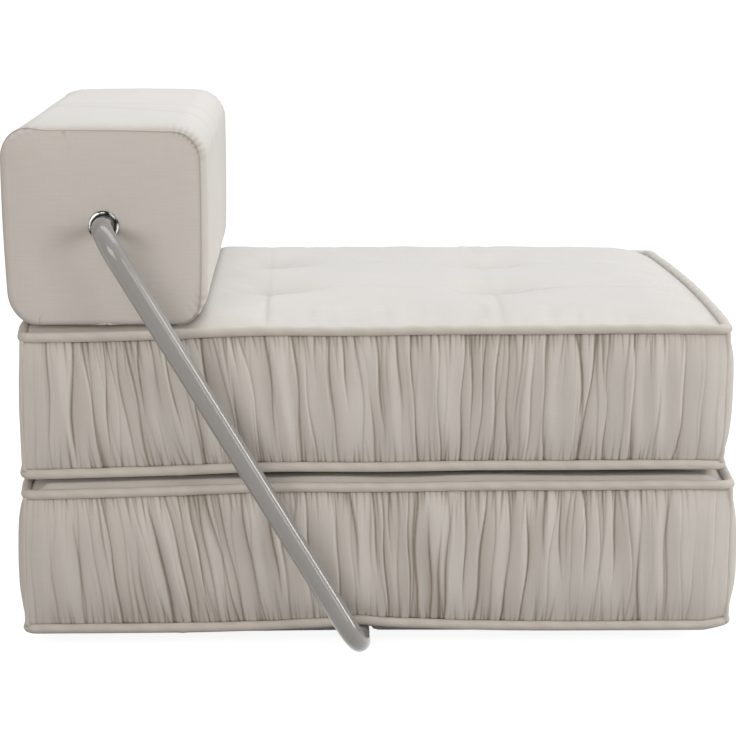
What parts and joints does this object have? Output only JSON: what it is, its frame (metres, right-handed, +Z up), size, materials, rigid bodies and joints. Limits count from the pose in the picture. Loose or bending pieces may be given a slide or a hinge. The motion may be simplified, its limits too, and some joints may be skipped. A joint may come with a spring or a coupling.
{
  "type": "modular sofa bed",
  "caption": "Modular sofa bed: stacked gathered-side mattresses with round welts, and a square bolster backrest on a bent tube loop that swings about a bar under them.",
  "frame": {"origin": "on the floor, at the middle of the part's box, under the lower mattress", "axes": "+X to the front of the seat, away from the bolster; +Y along the bolster, to the side away from the viewer; +Z up"},
  "size_m": [1.026, 1.06, 0.7416],
  "materials": {
    "panel_cloth": "plain woven natural cloth over wadding",
    "gathered_cloth": "plain woven natural cloth, gathered at both seams",
    "welt_cloth": "self-cloth cut on the bias over a thick cord",
    "bolster_cloth": "slubby woven natural cloth",
    "foam": "open-cell foam",
    "twine": "waxed tufting twine",
    "painted_tube": "satin warm grey powder coat",
    "eyelet_chrome": "bright chrome",
    "bare_steel": "zinc plated",
    "liner_plastic": "plain extruded sleeve"
  },
  "bodies": {
    "lower_mattress": {"lower_core": "foam", "lower_top_panel": "panel_cloth", "lower_bottom_panel": "panel_cloth", "lower_border_near": "gathered_cloth", "lower_border_far": "gathered_cloth", "lower_border_front": "gathered_cloth", "lower_border_rear": "gathered_cloth", "lower_top_welt": "welt_cloth", "lower_bottom_welt": "welt_cloth", "lower_corner_welts": "welt_cloth", "lower_tuft_ties": "twine"},
    "upper_mattress": {"upper_core": "foam", "upper_top_panel": "panel_cloth", "upper_bottom_panel": "panel_cloth", "upper_border_near": "gathered_cloth", "upper_border_far": "gathered_cloth", "upper_border_front": "gathered_cloth", "upper_border_rear": "gathered_cloth", "upper_top_welt": "welt_cloth", "upper_bottom_welt": "welt_cloth", "upper_corner_welts": "welt_cloth", "upper_tuft_ties": "twine"},
    "back_frame": {"arm_near": "painted_tube", "arm_far": "painted_tube", "floor_bar": "painted_tube", "cross_tube": "painted_tube", "floor_spigots": "bare_steel", "cross_spigots": "bare_steel", "frame_grub_screws": "bare_steel"},
    "bolster": {"bolster_foam": "foam", "bolster_wrap": "bolster_cloth", "bolster_end_near": "bolster_cloth", "bolster_end_far": "bolster_cloth", "bolster_end_seams": "welt_cloth", "bolster_liner": "liner_plastic", "eyelet_near": "eyelet_chrome", "eyelet_far": "eyelet_chrome", "eyelet_washers": "eyelet_chrome"}
  },
  "joints": [
    {"name": "frame_swing", "type": "hinge", "parent": "lower_mattress", "child": "back_frame", "pos_m": [-0.014, 0, 0.015], "axis": [0, 1, 0], "range_deg": [0, 59]},
    {"name": "bolster_turn", "type": "hinge", "parent": "back_frame", "child": "bolster", "pos_m": [-0.369, 0, 0.6016], "axis": [0, 1, 0], "range_deg": [-59, 0]},
    {"name": "upper_slide", "type": "slide", "parent": "lower_mattress", "child": "upper_mattress", "axis": [1, 0, 0], "range_m": [0, 0.45]}
  ],
  "couplings": [
    {"joint": "bolster_turn", "follows": "frame_swing", "ratio": -1}
  ]
}
